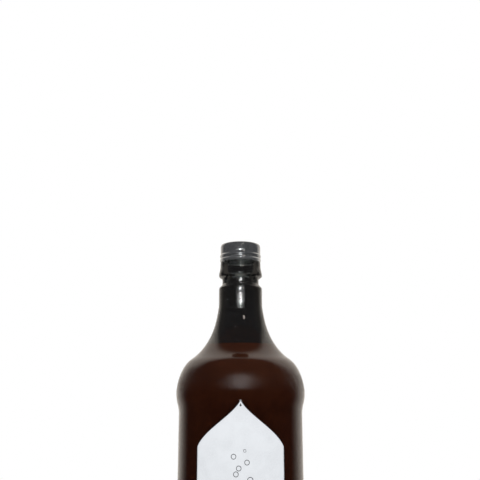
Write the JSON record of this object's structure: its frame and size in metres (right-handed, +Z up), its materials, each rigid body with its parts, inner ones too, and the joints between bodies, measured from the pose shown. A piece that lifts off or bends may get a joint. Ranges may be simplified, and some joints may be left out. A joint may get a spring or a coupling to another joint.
{
  "type": "glass soda bottle",
  "caption": "Round clear glass soda bottle with a flared shoulder, holding a dark drink, closed by a threaded aluminium screw cap.",
  "frame": {"origin": "centre of the ring the bottle stands on, in the plane of that ring", "axes": "+Z up the bottle's axis to the cap; -Y is the side with the front enamel panel; +X to the right seen from the front"},
  "size_m": [0.087, 0.0872, 0.3],
  "materials": {
    "clear_glass": "polished",
    "dark_soda": "gloss",
    "cap_aluminium": "satin",
    "liner_compound": "matte",
    "band_aluminium": "satin",
    "white_enamel": "satin"
  },
  "bodies": {
    "bottle": {"bottle_glass": "clear_glass", "soda_drink": "dark_soda", "tamper_band": "band_aluminium", "front_label": "white_enamel", "back_label": "white_enamel"},
    "liner": {"cap_liner": "liner_compound"},
    "cap": {"cap_shell": "cap_aluminium"}
  },
  "joints": [
    {"name": "cap_rise", "type": "slide", "parent": "bottle", "child": "liner", "axis": [0, 0, 1], "range_m": [0, 0.00509]},
    {"name": "cap_turn", "type": "hinge", "parent": "liner", "child": "cap", "pos_m": [0, 0, 0.295], "axis": [0, 0, 1], "range_deg": [0, 576]}
  ],
  "couplings": [
    {"joint": "cap_rise", "follows": "cap_turn", "m_per_rad": 0.00050611}
  ]
}
